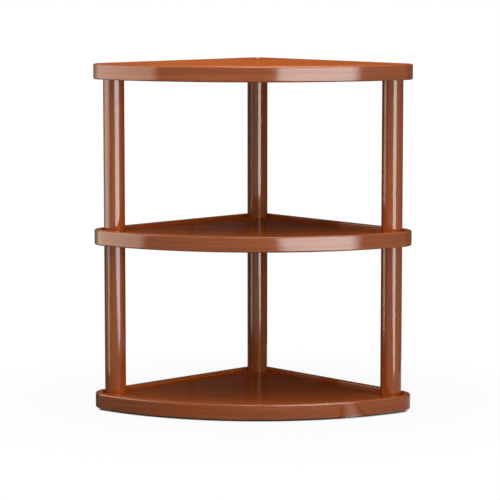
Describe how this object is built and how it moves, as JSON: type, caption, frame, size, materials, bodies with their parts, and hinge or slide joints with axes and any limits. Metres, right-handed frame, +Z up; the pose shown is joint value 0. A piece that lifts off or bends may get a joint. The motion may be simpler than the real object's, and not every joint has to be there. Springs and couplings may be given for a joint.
{
  "type": "corner shelf",
  "caption": "Free-standing quarter-round corner shelf in varnished wood: a flat top over shallow rimmed trays, joined by round posts at the corners.",
  "frame": {"origin": "centre of the overall box, on the surface that the shelf stands on", "axes": "+Z up; +Y towards the back corner, which goes into the corner of a room; +X to the right seen from the front"},
  "size_m": [0.3742, 0.2764, 0.4112],
  "materials": {
    "boards": "gloss varnish over reddish-brown wood, straight grain",
    "rims": "gloss varnish, grain along the strip",
    "posts": "gloss varnish, grain along the post",
    "plugs": "gloss varnish",
    "fasteners": "zinc plated",
    "pads": "dense felt"
  },
  "bodies": {
    "root": {"bottom_board": "boards", "bottom_front_rim": "rims", "bottom_left_rim": "rims", "bottom_right_rim": "rims", "middle_board": "boards", "middle_front_rim": "rims", "middle_left_rim": "rims", "middle_right_rim": "rims", "top_board": "boards", "top_front_rim": "rims", "top_left_rim": "rims", "top_right_rim": "rims", "lower_back_post": "posts", "lower_left_post": "posts", "lower_right_post": "posts", "upper_back_post": "posts", "upper_left_post": "posts", "upper_right_post": "posts", "bottom_screws": "fasteners", "post_studs": "fasteners", "top_screws": "fasteners", "top_plugs": "plugs", "back_cap": "plugs", "foot_pads": "pads"}
  },
  "joints": []
}
